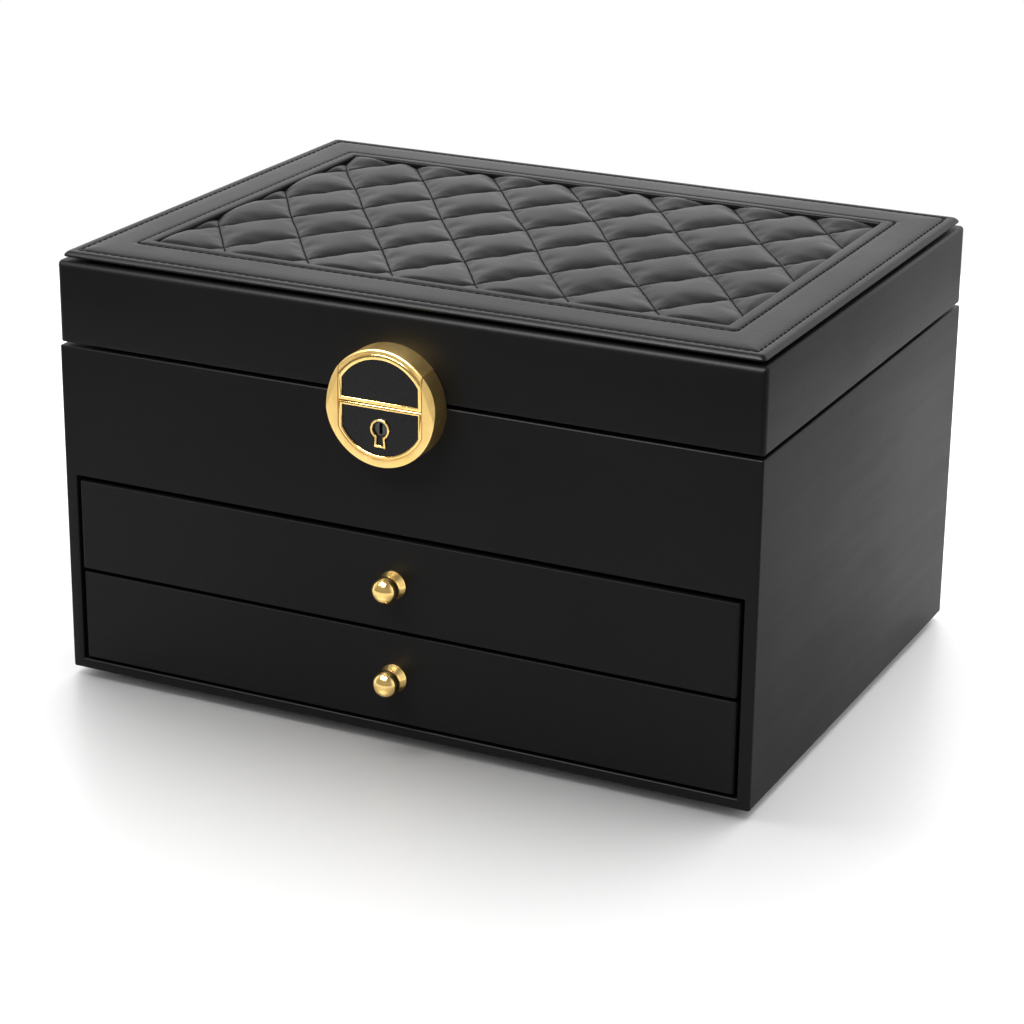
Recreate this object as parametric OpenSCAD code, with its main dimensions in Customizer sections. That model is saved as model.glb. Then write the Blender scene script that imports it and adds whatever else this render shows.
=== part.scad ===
// Leather-covered jewellery case: hinged lid with a quilted top, two drawers and a round clasp lock.
// Millimetres. X runs along the front, Y from the front to the back, Z up from the surface it stands on.

/* [Case] */
// Width of the case over the leather
case_w = 260; // [220:1:320]
// Depth of the case over the leather, front to back
case_d = 193; // [180:1:230]
// Height of the body, without feet or lid
body_h = 120; // [118:0.5:130]
// Height of the lid's walls
lid_h = 28.8; // [26:0.1:36]
// Gap between the body and the lid
seam_gap = 1.2; // [1:0.1:1.5]
// Height of the feet
foot_h = 3; // [2:0.5:4]
// Thickness of a wall, board and leather together
wall_t = 4.3; // [4:0.1:5]
// Thickness of the leather cover
skin_t = 0.8; // [0.6:0.1:1]
// Radius of the case's upright corners
corner_r = 2.2; // [1.5:0.1:4]

/* [Lid top] */
// Inset of the stitched top panel from the case's sides
panel_inset = 1.5; // [1:0.1:2.5]
// Thickness of the top panel at its outer edge
panel_t = 1.4; // [1.2:0.1:2]
// Rise of the padded panel from its outer edge to its window
panel_crown = 1.3; // [0.5:0.1:2]
// Height of the groove under the top panel
groove_h = 1.2; // [0.8:0.1:2]
// Width of the window that the quilted pad fills
window_w = 213; // [170:1:215]
// Depth of the window, front to back
window_d = 142; // [120:1:145]

/* [Drawers] */
// Height of the opening that both drawers fill
opening_h = 70; // [70:0.5:72]
// Height of the rail under the lower drawer
rail_h = 3.3; // [3:0.1:3.5]
// Height of one drawer front
front_h = 32.6; // [32:0.1:32.8]
// Thickness of a drawer front
front_t = 6; // [5:0.5:8]
// Gap at each side of a drawer front
front_gap = 1.5; // [1:0.1:2]
// Height of a drawer's sides
drawer_side_h = 29; // [24:1:30]

/* [Clasp] */
// Radius of the round clasp
clasp_r = 20; // [19:0.5:21]
// How far the clasp stands out of the front
clasp_out = 9; // [9:0.5:10]
// Half the distance between the clasp's two ears
clasp_side = 15.4; // [15:0.1:16]

/* [Knobs] */
// Radius of the knob's ball
knob_r = 4.6; // [4:0.1:4.8]
// Distance from the drawer front to the ball's centre
knob_out = 5.1; // [5:0.1:6]

/* [Hidden] */

$fn = 72;
leather = [0.06, 0.06, 0.065];
velvet = [0.09, 0.085, 0.09];
board = [0.55, 0.42, 0.29];
gold = [0.86, 0.66, 0.30];
enamel = [0.03, 0.03, 0.03];
steel = [0.6, 0.6, 0.62];
rubber = [0.1, 0.1, 0.1];
glass = [0.8, 0.85, 0.88];

// Levels of the case, from the surface up
body_z0 = foot_h;
body_z1 = body_z0 + body_h;
lid_z0 = body_z1 + seam_gap;
lid_z1 = lid_z0 + lid_h;
seam_z = body_z1 + seam_gap / 2;
rail_z = body_z0 + rail_h;
opening_z = rail_z + opening_h;

// Half the clear width between the side walls, and the back wall's inner face
in_x = case_w / 2 - wall_t;
in_back = case_d - wall_t;

// Boards, shelves and linings
shelf_t = 3;
shelf_z = opening_z + shelf_t;
dust_t = 2;
dust_drop = 1;
dust_z = opening_z - opening_h / 2 - dust_t / 2 - dust_drop;
dust_front = 10;
lining_t = 1.5;
lining_below_edge = 0.4;
lid_board_t = 3.5;
lid_ceiling = lid_z1 - skin_t - lid_board_t;

// Feet
foot_r = 9;
foot_edge = 0.6;
foot_inset = 24;

// Upper compartment
divider_t = 2.5;
divider_drop = 12;
divider_z = body_z1 - divider_drop;
ring_x = -46;
cross_y = case_d / 2;
short_x = 38;
roll_count = 10;
roll_gap = 0.6;
roll_end_gap = 0.4;
roll_h = 24;

// Mirror under the lid
frame_t = 3.5;
mirror_w = 196;
mirror_d = 132;
mirror_t = 2;
mirror_lap = 3;

// Clasp levels, measured up from its centre
clasp_z = seam_z - 1.1;
split_h = seam_z - clasp_z - 0.1;
split_gap = 0.15;
ear_gap = 0.1;
lid_clear = 0.3;
enamel_side = clasp_side - 1.4;
strike_enamel_r = 16.5;
lock_enamel_r = 16.2;
enamel_recess = 0.8;
enamel_t = 0.6;
rim_h = 1.2;

// Lock works, measured out from the case's front
cavity_r = 17.2;
cavity_out = clasp_out - 2;
cavity_top = -0.3;
plate_t = 0.8;
bolt_out = 1.2;
bolt_t = 1.2;
plug_h = -7;
plug_r = 2.5;
plug_flange_r = 3;
plug_flange_out = 2.8;
plug_flange_t = 0.8;
plug_boss_r = 4;
key_slot_w = 1.2;
key_slot_h = 3.8;
key_slot_deep = 1.5;
running = 0.06;
pin_orbit = 2.2;
pin_r = 0.6;
pin_x = pin_orbit * sin(45);
fork_clear = 0.15;
rib_x0 = -4;
rib_x1 = 10.4;
rib_low = -12.6;
rib_t = 1.2;
tongue_w = 10.4;
tongue_low = -3.5;
notch_low = -2.2;
notch_top = -0.4;
notch_deep = 3;
slot_side_gap = 0.4;
slot_face_gap = 0.6;
lock_screw_x = 12.6;
lock_screw_h = -6;
strike_screw_x = 8;
strike_screw_h = 8;
screw_r = 0.9;
screw_head_r = 1.8;
screw_head_t = 0.9;
screw_dome_r = 2.4;
screw_sink = 1.2;
screw_bite = 4;
screw_boss_r = 1.9;

// Keyhole
keyhole_r = 3.5;
keyhole_rim = 0.8;
keyhole_neck = 1.7;
keyhole_foot = 2.1;
keyhole_low = -13.3;

// Hinges
hinge_x = [-75, 75];
barrel_r = 2;
barrel_out = barrel_r + 0.3;
hinge_l = 36;
knuckle_l = 12;
knuckle_gap = 0.15;
leaf_t = 0.8;
leaf_z0 = 2.4;
leaf_z1 = 18;
hinge_pin_r = 0.9;
hinge_screw_x = [-12, 0, 12];
hinge_screw_z = 11;
hinge_screw_l = 4.6;
web_out = 1.2;
lug_w = 5;
lug_t = 1;
lug_root = 1.6;
lug_out = 3.2;
stop_low = 3.8;
stop_out = 1.45;

// Drawers: bottom of the front, bottom of the box, and how far the front stands out
front_x = in_x - front_gap;
box_gap = 0.5;
fronts_gap = 1.4;
upper_proud = 0.4;
lower = [rail_z + front_gap, rail_z + box_gap, 0];
upper = [lower[0] + front_h + fronts_gap, dust_z + dust_t + box_gap, upper_proud];
drawer_back_y = in_back - 0.3;
drawer_side_t = 3;
drawer_bottom_t = 2.5;
drawer_lining_t = 1.2;
drawer_lining_drop = 1;
drawer_divider_t = 2;
drawer_divider_h = 20;
upper_divider_x = 41;
knob_base_r = 5.3;
knob_base_t = 0.6;
knob_neck_r1 = 5;
knob_neck_r2 = 3.2;
knob_neck_h = 1.8;
knob_screw_r = 1.2;
knob_screw_bite = 4.5;
knob_head_r = 3;
knob_head_t = 1.5;

// The origin lies under the middle of the whole object, knobs and hinges included
front_reach = knob_out + knob_r + upper[2];
back_reach = case_d + barrel_out + lug_out;
mid_y = (back_reach - front_reach) / 2;

// Moves the case from its front-face frame to the object's own origin
module at_origin() {
    translate([0, -mid_y, 0]) children();
}

// Box between two corners
module block(low, high) {
    translate(low) cube(high - low);
}

// Box whose four upright corners are round
module rounded_block(low, high, r) {
    block(low + [r, 0, 0], high - [r, 0, 0]);
    block(low + [0, r, 0], high - [0, r, 0]);
    for (x = [low[0] + r, high[0] - r], y = [low[1] + r, high[1] - r])
        translate([x, y, low[2]]) cylinder(r = r, h = high[2] - low[2]);
}

// Frame on the front at height h: X as before, Y up, Z outwards
module on_front(x, h, out = 0) {
    translate([x, -out, h]) rotate([90, 0, 0]) children();
}

// ---------- Body ----------

module body_cover() {
    color(leather) at_origin() difference() {
        rounded_block([-case_w / 2, 0, body_z0], [case_w / 2, case_d, body_z1], corner_r);
        block([-case_w / 2 + skin_t, skin_t, body_z0 - 1],
              [case_w / 2 - skin_t, case_d - skin_t, body_z1 - skin_t]);
        block([-in_x, wall_t, body_z0], [in_x, in_back, body_z1 + 1]);
        block([-in_x, -1, rail_z], [in_x, wall_t, opening_z]);
    }
}

// Full-depth side board; side is -1 for left and 1 for right
module side_board(side) {
    color(board) at_origin() mirror([side < 0 ? 1 : 0, 0, 0])
        block([in_x, skin_t, body_z0], [case_w / 2 - skin_t, case_d - skin_t, body_z1 - skin_t]);
}

module left_board() {
    side_board(-1);
}

module right_board() {
    side_board(1);
}

module front_board() {
    color(board) at_origin()
        block([-in_x, skin_t, opening_z], [in_x, wall_t, body_z1 - skin_t]);
}

module back_board() {
    color(board) at_origin()
        block([-in_x, in_back, body_z0], [in_x, case_d - skin_t, body_z1 - skin_t]);
}

module base_board() {
    color(board) at_origin() block([-in_x, skin_t, body_z0], [in_x, in_back, rail_z]);
}

module shelf_board() {
    color(board) at_origin() block([-in_x, wall_t, opening_z], [in_x, in_back, shelf_z]);
}

module dust_shelf() {
    color(board) at_origin()
        block([-in_x, dust_front, dust_z], [in_x, in_back, dust_z + dust_t]);
}

module feet() {
    color(rubber) at_origin()
        for (x = [-case_w / 2 + foot_inset, case_w / 2 - foot_inset],
             y = [foot_inset, case_d - foot_inset])
            translate([x, y, 0]) {
                cylinder(r1 = foot_r - foot_edge, r2 = foot_r, h = foot_edge);
                translate([0, 0, foot_edge]) cylinder(r = foot_r, h = foot_h - foot_edge);
            }
}

module compartment_lining() {
    color(velvet) at_origin() difference() {
        block([-in_x, wall_t, shelf_z], [in_x, in_back, body_z1 - lining_below_edge]);
        block([-in_x + lining_t, wall_t + lining_t, shelf_z + lining_t],
              [in_x - lining_t, in_back - lining_t, body_z1 + 1]);
    }
}

module divider_long() {
    color(velvet) at_origin()
        block([ring_x, wall_t + lining_t, shelf_z + lining_t],
              [ring_x + divider_t, in_back - lining_t, divider_z]);
}

module divider_cross() {
    color(velvet) at_origin()
        block([ring_x + divider_t, cross_y, shelf_z + lining_t],
              [in_x - lining_t, cross_y + divider_t, divider_z]);
}

module divider_short() {
    color(velvet) at_origin()
        block([short_x, cross_y + divider_t, shelf_z + lining_t],
              [short_x + divider_t, in_back - lining_t, divider_z]);
}

// Soft rolls that grip rings between them, side by side from the front to the back
module ring_rolls() {
    low_x = -in_x + lining_t + roll_end_gap;
    length = ring_x - low_x - roll_end_gap;
    first_y = wall_t + lining_t;
    pitch = (in_back - lining_t - first_y) / roll_count;
    r = (pitch - roll_gap) / 2;
    floor_z = shelf_z + lining_t;
    color(velvet) at_origin() for (i = [0 : roll_count - 1])
        translate([low_x, first_y + pitch * (i + 0.5), floor_z]) {
            translate([0, 0, roll_h - r]) rotate([0, 90, 0]) cylinder(r = r, h = length);
            translate([0, -r, 0]) cube([length, 2 * r, roll_h - r]);
        }
}

// ---------- Clasp lock ----------

// The clasp's disc, from one distance out of the front to another
module clasp_disc(r, from, to) {
    translate([0, 0, from]) cylinder(r = r, h = to - from, $fn = 96);
}

// Keyhole outline, grown by d, as a solid
module keyhole(d, from, to) {
    translate([0, plug_h, from]) cylinder(r = keyhole_r + d, h = to - from);
    translate([0, 0, from]) linear_extrude(to - from) polygon([
        [-keyhole_foot - d, keyhole_low - d],
        [keyhole_foot + d, keyhole_low - d],
        [keyhole_neck + d, plug_h - 2],
        [-keyhole_neck - d, plug_h - 2]
    ]);
}

module lock_body() {
    color(gold) at_origin() on_front(0, clasp_z) difference() {
        clasp_disc(clasp_r, 0, clasp_out);
        // room for the strike between the ears
        block([-clasp_side - ear_gap, split_h - split_gap, -1],
              [clasp_side + ear_gap, clasp_r + 1, clasp_out + 1]);
        // clearance in front of the lid
        block([-clasp_r, body_z1 - clasp_z, -1], [clasp_r, clasp_r, lid_clear]);
        // works cavity with its guide rib, screw bosses and plug boss left standing
        difference() {
            intersection() {
                clasp_disc(cavity_r, -1, cavity_out);
                block([-clasp_r, -clasp_r, -2], [clasp_r, cavity_top, clasp_out]);
            }
            block([rib_x0, rib_low, bolt_out - 0.2], [rib_x1, rib_low + rib_t, clasp_out]);
            for (x = [-lock_screw_x, lock_screw_x])
                translate([x, lock_screw_h, plate_t]) cylinder(r = screw_boss_r, h = clasp_out);
            translate([0, plug_h, plug_flange_out + plug_flange_t + 0.3])
                cylinder(r = plug_boss_r, h = clasp_out);
        }
        // plug bore, screw holes, tongue slot and enamel recess
        translate([0, plug_h, 0]) cylinder(r = plug_r + running, h = clasp_out + 1);
        for (x = [-lock_screw_x, lock_screw_x])
            translate([x, lock_screw_h, -1]) cylinder(r = screw_r, h = screw_bite + 2);
        block([-tongue_w / 2 - slot_side_gap, cavity_top - 1, bolt_out - slot_face_gap],
              [tongue_w / 2 + slot_side_gap, clasp_r, bolt_out + bolt_t + slot_face_gap]);
        intersection() {
            clasp_disc(lock_enamel_r, clasp_out - enamel_recess, clasp_out + 1);
            block([-enamel_side, -clasp_r, 0],
                  [enamel_side, split_h - split_gap - rim_h, clasp_out + 1]);
        }
    }
}

module lock_back_plate() {
    color(steel) at_origin() on_front(0, clasp_z) difference() {
        intersection() {
            clasp_disc(cavity_r - 0.1, 0, plate_t);
            block([-clasp_r, -clasp_r, -1], [clasp_r, cavity_top - 0.1, clasp_out]);
        }
        for (x = [-lock_screw_x, lock_screw_x])
            translate([x, lock_screw_h, -1]) cylinder(r = screw_r, h = 3);
    }
}

module lock_enamel() {
    from = clasp_out - enamel_recess;
    color(enamel) at_origin() on_front(0, clasp_z) difference() {
        intersection() {
            clasp_disc(lock_enamel_r, from, from + enamel_t);
            block([-enamel_side, -clasp_r, 0], [enamel_side, split_h - split_gap - rim_h, clasp_out]);
        }
        keyhole(0, 0, clasp_out + 1);
    }
}

module keyhole_rim() {
    from = clasp_out - enamel_recess;
    color(gold) at_origin() on_front(0, clasp_z) difference() {
        keyhole(0, from, clasp_out + 0.1);
        keyhole(-keyhole_rim, from - 1, clasp_out + 1);
    }
}

// Cylinder that a key turns, with the crank pin that drives the bolt
module lock_plug() {
    color(steel) at_origin() on_front(0, clasp_z + plug_h) {
        difference() {
            translate([0, 0, plug_flange_out]) cylinder(r = plug_r, h = cavity_out + 1 - plug_flange_out);
            block([-key_slot_w / 2, -key_slot_h / 2, cavity_out - key_slot_deep],
                  [key_slot_w / 2, key_slot_h / 2, clasp_out]);
        }
        translate([0, 0, plug_flange_out]) cylinder(r = plug_flange_r, h = plug_flange_t);
        translate([pin_x, -pin_orbit * cos(45), bolt_out + 0.1])
            cylinder(r = pin_r, h = plug_flange_out - bolt_out);
    }
}

// Flat bolt: a tooth for the tongue's notch, a leg, and a fork around the crank pin
module lock_bolt() {
    tooth_x = tongue_w / 2 + 0.4;
    tooth_low = notch_low + 0.1;
    tooth_top = notch_top - 0.1;
    leg_x0 = 8.7;
    leg_x1 = 10;
    fork_x = pin_x - 2.2;
    fork_low = -11.2;
    fork_top = -7.8;
    fork_slot = plug_h - 3;
    color(steel) at_origin() on_front(0, clasp_z) difference() {
        union() {
            block([tooth_x, tooth_low, bolt_out], [leg_x1, tooth_top, bolt_out + bolt_t]);
            block([leg_x0, fork_low, bolt_out], [leg_x1, tooth_top, bolt_out + bolt_t]);
            block([fork_x, fork_low, bolt_out], [leg_x1, fork_top, bolt_out + bolt_t]);
        }
        block([pin_x - pin_r - fork_clear, fork_slot, bolt_out - 1],
              [pin_x + pin_r + fork_clear, fork_top + 1, bolt_out + bolt_t + 1]);
    }
}

// Round-headed screw: the head's underside is at z = 0 and the shank runs along -Z
module small_screw(shank) {
    translate([0, 0, -shank]) cylinder(r = screw_r, h = shank);
    rotate_extrude() intersection() {
        translate([0, screw_head_t - screw_dome_r]) circle(r = screw_dome_r);
        square([screw_head_r, 2]);
    }
}

// Screws from inside the front wall into the clasp
module clasp_screws(x, h) {
    color(steel) at_origin() for (s = [-x, x])
        translate([s, wall_t - screw_sink, h]) rotate([-90, 0, 0])
            small_screw(wall_t - screw_sink + screw_bite);
}

module lock_screws() {
    clasp_screws(lock_screw_x, clasp_z + lock_screw_h);
}

module strike_screws() {
    clasp_screws(strike_screw_x, clasp_z + strike_screw_h);
}

module strike() {
    color(gold) at_origin() on_front(0, clasp_z) difference() {
        intersection() {
            clasp_disc(clasp_r, 0, clasp_out);
            block([-clasp_side + ear_gap, split_h + split_gap, -1],
                  [clasp_side - ear_gap, clasp_r + 1, clasp_out + 1]);
        }
        block([-clasp_r, 0, -1], [clasp_r, lid_z0 - clasp_z, lid_clear]);
        intersection() {
            clasp_disc(strike_enamel_r, clasp_out - enamel_recess, clasp_out + 1);
            block([-enamel_side, split_h + split_gap + rim_h, 0],
                  [enamel_side, clasp_r, clasp_out + 1]);
        }
        for (x = [-strike_screw_x, strike_screw_x])
            translate([x, strike_screw_h, -1]) cylinder(r = screw_r, h = screw_bite + 2);
        block([-tongue_w / 2, 0, bolt_out], [tongue_w / 2, 5, bolt_out + bolt_t]);
    }
}

module strike_enamel() {
    from = clasp_out - enamel_recess;
    color(enamel) at_origin() on_front(0, clasp_z) intersection() {
        clasp_disc(strike_enamel_r, from, from + enamel_t);
        block([-enamel_side, split_h + split_gap + rim_h, 0], [enamel_side, clasp_r, clasp_out]);
    }
}

// Steel tongue under the strike, with the notch that the bolt enters
module strike_tongue() {
    color(steel) at_origin() on_front(0, clasp_z) difference() {
        block([-tongue_w / 2, tongue_low, bolt_out], [tongue_w / 2, 5, bolt_out + bolt_t]);
        block([tongue_w / 2 - notch_deep, notch_low, 0], [tongue_w, notch_top, clasp_out]);
    }
}

// ---------- Hinges ----------

// Every hinge's frame: on the pin's axis
module at_hinges() {
    for (x = hinge_x) translate([x, case_d + barrel_out, seam_z]) children();
}

module barrel(x0, x1, bore) {
    translate([x0, 0, 0]) rotate([0, 90, 0]) difference() {
        cylinder(r = barrel_r, h = x1 - x0);
        translate([0, 0, -1]) cylinder(r = bore, h = x1 - x0 + 2);
    }
}

// Leaf plate and the webs to its own knuckles, upwards for the lid
module leaf(knuckles) {
    difference() {
        union() {
            block([-hinge_l / 2, -barrel_out, leaf_z0], [hinge_l / 2, -barrel_out + leaf_t, leaf_z1]);
            for (k = knuckles)
                block([k[0], -barrel_out, 0.3], [k[1], -barrel_out + web_out, leaf_z0 + 0.6]);
        }
        for (x = hinge_screw_x)
            translate([x, 0, hinge_screw_z]) rotate([90, 0, 0]) cylinder(r = screw_r, h = 5);
    }
}

body_knuckles = [[-hinge_l / 2, -knuckle_l / 2 - knuckle_gap], [knuckle_l / 2 + knuckle_gap, hinge_l / 2]];
lid_knuckles = [[-knuckle_l / 2, knuckle_l / 2]];

module hinge_body_leaves() {
    color(gold) at_origin() at_hinges() {
        for (k = body_knuckles) barrel(k[0], k[1], hinge_pin_r);
        mirror([0, 0, 1]) leaf(body_knuckles);
        // stop that the lid's lug meets
        block([-lug_w / 2, -barrel_out, -stop_low], [lug_w / 2, -barrel_out + stop_out, -leaf_z0]);
    }
}

module hinge_lid_leaves() {
    color(gold) at_origin() at_hinges() {
        for (k = lid_knuckles) barrel(k[0], k[1], hinge_pin_r + running);
        leaf(lid_knuckles);
        block([-lug_w / 2, lug_root, -lug_t / 2], [lug_w / 2, lug_out, lug_t / 2]);
    }
}

module hinge_pins() {
    color(steel) at_origin() at_hinges()
        translate([-hinge_l / 2, 0, 0]) rotate([0, 90, 0]) cylinder(r = hinge_pin_r, h = hinge_l);
}

// Screws through one leaf of every hinge; side is 1 for the lid and -1 for the body
module leaf_screws(side) {
    color(gold) at_origin() at_hinges() for (x = hinge_screw_x)
        translate([x, -barrel_out + leaf_t, side * hinge_screw_z])
            rotate([-90, 0, 0]) small_screw(hinge_screw_l);
}

module hinge_body_screws() {
    leaf_screws(-1);
}

module hinge_lid_screws() {
    leaf_screws(1);
}

// ---------- Lid ----------

module lid_cover() {
    color(leather) at_origin() difference() {
        rounded_block([-case_w / 2, 0, lid_z0], [case_w / 2, case_d, lid_z1], corner_r);
        block([-case_w / 2 + skin_t, skin_t, lid_z0 + skin_t],
              [case_w / 2 - skin_t, case_d - skin_t, lid_z1 - skin_t]);
        block([-in_x, wall_t, lid_z0 - 1], [in_x, in_back, lid_z0 + skin_t + 1]);
    }
}

module lid_side_board(side) {
    color(board) at_origin() mirror([side < 0 ? 1 : 0, 0, 0])
        block([in_x, skin_t, lid_z0 + skin_t],
              [case_w / 2 - skin_t, case_d - skin_t, lid_z1 - skin_t]);
}

module lid_left_board() {
    lid_side_board(-1);
}

module lid_right_board() {
    lid_side_board(1);
}

module lid_front_board() {
    color(board) at_origin()
        block([-in_x, skin_t, lid_z0 + skin_t], [in_x, wall_t, lid_z1 - skin_t]);
}

module lid_back_board() {
    color(board) at_origin()
        block([-in_x, in_back, lid_z0 + skin_t], [in_x, case_d - skin_t, lid_z1 - skin_t]);
}

module lid_top_board() {
    color(board) at_origin()
        block([-in_x, wall_t, lid_ceiling], [in_x, in_back, lid_z1 - skin_t]);
}

// Padded, stitched frame around the quilted pad, on a neck that leaves a groove under it
module top_frame() {
    neck_in = panel_inset + 2.5;
    top_z0 = lid_z1 + groove_h;
    edge_z = top_z0 + panel_t;
    crown_z = edge_z + panel_crown;
    crown_in = 20;
    mid_d = case_d / 2;
    color(leather) at_origin() difference() {
        union() {
            rounded_block([-case_w / 2 + neck_in, neck_in, lid_z1],
                          [case_w / 2 - neck_in, case_d - neck_in, top_z0], corner_r);
            intersection() {
                rounded_block([-case_w / 2 + panel_inset, panel_inset, top_z0],
                              [case_w / 2 - panel_inset, case_d - panel_inset, crown_z], corner_r);
                translate([0, case_d, 0]) rotate([90, 0, 0])
                    linear_extrude(case_d) crown_profile(case_w / 2, crown_in, top_z0, edge_z, crown_z);
                translate([-case_w / 2, mid_d, 0]) rotate([90, 0, 90])
                    linear_extrude(case_w) crown_profile(mid_d, crown_in, top_z0, edge_z, crown_z);
            }
        }
        block([-window_w / 2, mid_d - window_d / 2, lid_z1 - 1],
              [window_w / 2, mid_d + window_d / 2, crown_z + 1]);
    }
}

// Section of the padded panel: level edges, a slope, and a level middle
module crown_profile(half, crown_in, bottom, edge, top) {
    polygon([
        [-half, bottom], [half, bottom], [half, edge],
        [half - crown_in, top], [-half + crown_in, top], [-half, edge]
    ]);
}

module quilted_pad() {
    side_clear = 0.4;
    color(leather) at_origin()
        block([-window_w / 2 + side_clear, (case_d - window_d) / 2 + side_clear, lid_z1],
              [window_w / 2 - side_clear, (case_d + window_d) / 2 - side_clear,
               lid_z1 + groove_h + panel_t]);
}

module lid_lining() {
    color(velvet) at_origin() difference() {
        block([-in_x, wall_t, lid_z0 + lining_below_edge], [in_x, in_back, lid_ceiling]);
        block([-in_x + lining_t, wall_t + lining_t, lid_z0 - 1],
              [in_x - lining_t, in_back - lining_t, lid_ceiling + 1]);
    }
}

module mirror_frame() {
    mid_d = case_d / 2;
    color(velvet) at_origin() difference() {
        block([-in_x + lining_t, wall_t + lining_t, lid_ceiling - frame_t],
              [in_x - lining_t, in_back - lining_t, lid_ceiling]);
        block([-mirror_w / 2, mid_d - mirror_d / 2, lid_ceiling - mirror_t],
              [mirror_w / 2, mid_d + mirror_d / 2, lid_ceiling + 1]);
        block([-mirror_w / 2 + mirror_lap, mid_d - mirror_d / 2 + mirror_lap, lid_z0],
              [mirror_w / 2 - mirror_lap, mid_d + mirror_d / 2 - mirror_lap, lid_ceiling]);
    }
}

module mirror_glass() {
    mid_d = case_d / 2;
    color(glass) at_origin()
        block([-mirror_w / 2, mid_d - mirror_d / 2, lid_ceiling - mirror_t],
              [mirror_w / 2, mid_d + mirror_d / 2, lid_ceiling]);
}

// ---------- Drawers ----------

module drawer_front(d) {
    color(leather) at_origin() difference() {
        block([-front_x, -d[2], d[0]], [front_x, front_t, d[0] + front_h]);
        on_front(0, d[0] + front_h / 2, -front_t - 1) cylinder(r = knob_screw_r, h = front_t + 3);
    }
}

module drawer_side(d, side) {
    color(board) at_origin() mirror([side < 0 ? 1 : 0, 0, 0])
        block([front_x - drawer_side_t, front_t, d[1]], [front_x, drawer_back_y, d[1] + drawer_side_h]);
}

module drawer_back(d) {
    x = front_x - drawer_side_t;
    color(board) at_origin()
        block([-x, drawer_back_y - drawer_side_t, d[1]], [x, drawer_back_y, d[1] + drawer_side_h]);
}

module drawer_bottom(d) {
    x = front_x - drawer_side_t;
    color(board) at_origin()
        block([-x, front_t, d[1]], [x, drawer_back_y - drawer_side_t, d[1] + drawer_bottom_t]);
}

module drawer_lining(d) {
    x = front_x - drawer_side_t;
    y1 = drawer_back_y - drawer_side_t;
    z0 = d[1] + drawer_bottom_t;
    t = drawer_lining_t;
    color(velvet) at_origin() difference() {
        block([-x, front_t, z0], [x, y1, d[1] + drawer_side_h - drawer_lining_drop]);
        block([-x + t, front_t + t, z0 + t], [x - t, y1 - t, d[1] + drawer_side_h + 1]);
        on_front(0, d[0] + front_h / 2, -front_t - t - 1)
            cylinder(r = knob_head_r + 0.6, h = t + 2);
    }
}

// Upright divider across the drawer (along_y false) or along it
module drawer_divider(d, place, along_y) {
    x = front_x - drawer_side_t - drawer_lining_t;
    y0 = front_t + drawer_lining_t;
    y1 = drawer_back_y - drawer_side_t - drawer_lining_t;
    z0 = d[1] + drawer_bottom_t + drawer_lining_t;
    half = drawer_divider_t / 2;
    color(velvet) at_origin() if (along_y)
        block([place - half, y0, z0], [place + half, y1, z0 + drawer_divider_h]);
    else
        block([-x, place - half, z0], [x, place + half, z0 + drawer_divider_h]);
}

module drawer_knob(d) {
    color(gold) at_origin() on_front(0, d[0] + front_h / 2, d[2]) difference() {
        union() {
            cylinder(r = knob_base_r, h = knob_base_t);
            translate([0, 0, knob_base_t])
                cylinder(r1 = knob_neck_r1, r2 = knob_neck_r2, h = knob_neck_h);
            translate([0, 0, knob_out]) sphere(r = knob_r);
        }
        translate([0, 0, -1]) cylinder(r = knob_screw_r, h = knob_screw_bite + 1.5);
    }
}

module knob_screw(d) {
    color(steel) at_origin() on_front(0, d[0] + front_h / 2, -front_t) {
        cylinder(r = knob_screw_r, h = front_t + d[2] + knob_screw_bite);
        translate([0, 0, -knob_head_t]) cylinder(r = knob_head_r, h = knob_head_t);
    }
}

module upper_drawer_front() {
    drawer_front(upper);
}

module upper_drawer_left() {
    drawer_side(upper, -1);
}

module upper_drawer_right() {
    drawer_side(upper, 1);
}

module upper_drawer_back() {
    drawer_back(upper);
}

module upper_drawer_bottom() {
    drawer_bottom(upper);
}

module upper_drawer_lining() {
    drawer_lining(upper);
}

module upper_drawer_dividers() {
    for (x = [-upper_divider_x, upper_divider_x]) drawer_divider(upper, x, true);
}

module upper_drawer_knob() {
    drawer_knob(upper);
}

module upper_knob_screw() {
    knob_screw(upper);
}

module lower_drawer_front() {
    drawer_front(lower);
}

module lower_drawer_left() {
    drawer_side(lower, -1);
}

module lower_drawer_right() {
    drawer_side(lower, 1);
}

module lower_drawer_back() {
    drawer_back(lower);
}

module lower_drawer_bottom() {
    drawer_bottom(lower);
}

module lower_drawer_lining() {
    drawer_lining(lower);
}

module lower_drawer_divider() {
    drawer_divider(lower, case_d / 2, false);
}

module lower_drawer_knob() {
    drawer_knob(lower);
}

module lower_knob_screw() {
    knob_screw(lower);
}

// ---------- Nodes ----------

body_cover();
left_board();
right_board();
front_board();
back_board();
base_board();
shelf_board();
dust_shelf();
feet();
compartment_lining();
divider_long();
divider_cross();
divider_short();
ring_rolls();
lock_body();
lock_back_plate();
lock_enamel();
keyhole_rim();
lock_screws();
lock_plug();
lock_bolt();
hinge_body_leaves();
hinge_pins();
hinge_body_screws();
lid_cover();
lid_left_board();
lid_right_board();
lid_front_board();
lid_back_board();
lid_top_board();
top_frame();
quilted_pad();
lid_lining();
mirror_frame();
mirror_glass();
strike();
strike_enamel();
strike_tongue();
strike_screws();
hinge_lid_leaves();
hinge_lid_screws();
upper_drawer_front();
upper_drawer_left();
upper_drawer_right();
upper_drawer_back();
upper_drawer_bottom();
upper_drawer_lining();
upper_drawer_dividers();
upper_drawer_knob();
upper_knob_screw();
lower_drawer_front();
lower_drawer_left();
lower_drawer_right();
lower_drawer_back();
lower_drawer_bottom();
lower_drawer_lining();
lower_drawer_divider();
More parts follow.
